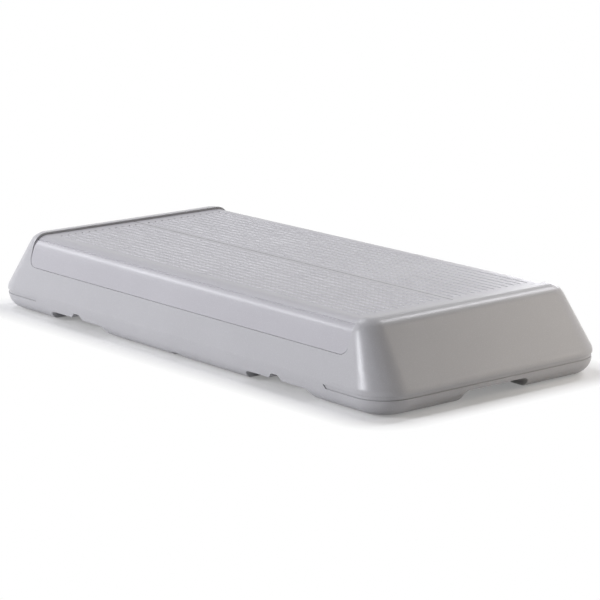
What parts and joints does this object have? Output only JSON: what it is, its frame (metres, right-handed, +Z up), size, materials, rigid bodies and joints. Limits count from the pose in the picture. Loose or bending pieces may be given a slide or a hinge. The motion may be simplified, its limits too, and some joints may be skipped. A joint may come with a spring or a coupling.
{
  "type": "aerobic step platform",
  "caption": "Low moulded exercise step with raised rounded ends, a ribbed non-slip deck, arched sides with resistance-band notches and rubber foot pads.",
  "frame": {"origin": "on the floor, under the middle of the platform", "axes": "+X along the length, +Y across to the back, +Z up"},
  "size_m": [0.7428, 0.3394, 0.1],
  "materials": {
    "body_grey": "silver-grey moulded plastic, satin",
    "deck_grey": "silver-grey ribbed plastic, satin",
    "pad_rubber": "black matt rubber",
    "screw_steel": "zinc-plated steel"
  },
  "bodies": {
    "root": {"base_shell": "body_grey", "front_deck_panel": "deck_grey", "back_deck_panel": "deck_grey", "front_right_corner_pad": "pad_rubber", "front_left_corner_pad": "pad_rubber", "back_right_corner_pad": "pad_rubber", "back_left_corner_pad": "pad_rubber", "front_right_centre_pad": "pad_rubber", "front_left_centre_pad": "pad_rubber", "back_right_centre_pad": "pad_rubber", "back_left_centre_pad": "pad_rubber", "front_deck_screws": "screw_steel", "back_deck_screws": "screw_steel"}
  },
  "joints": []
}
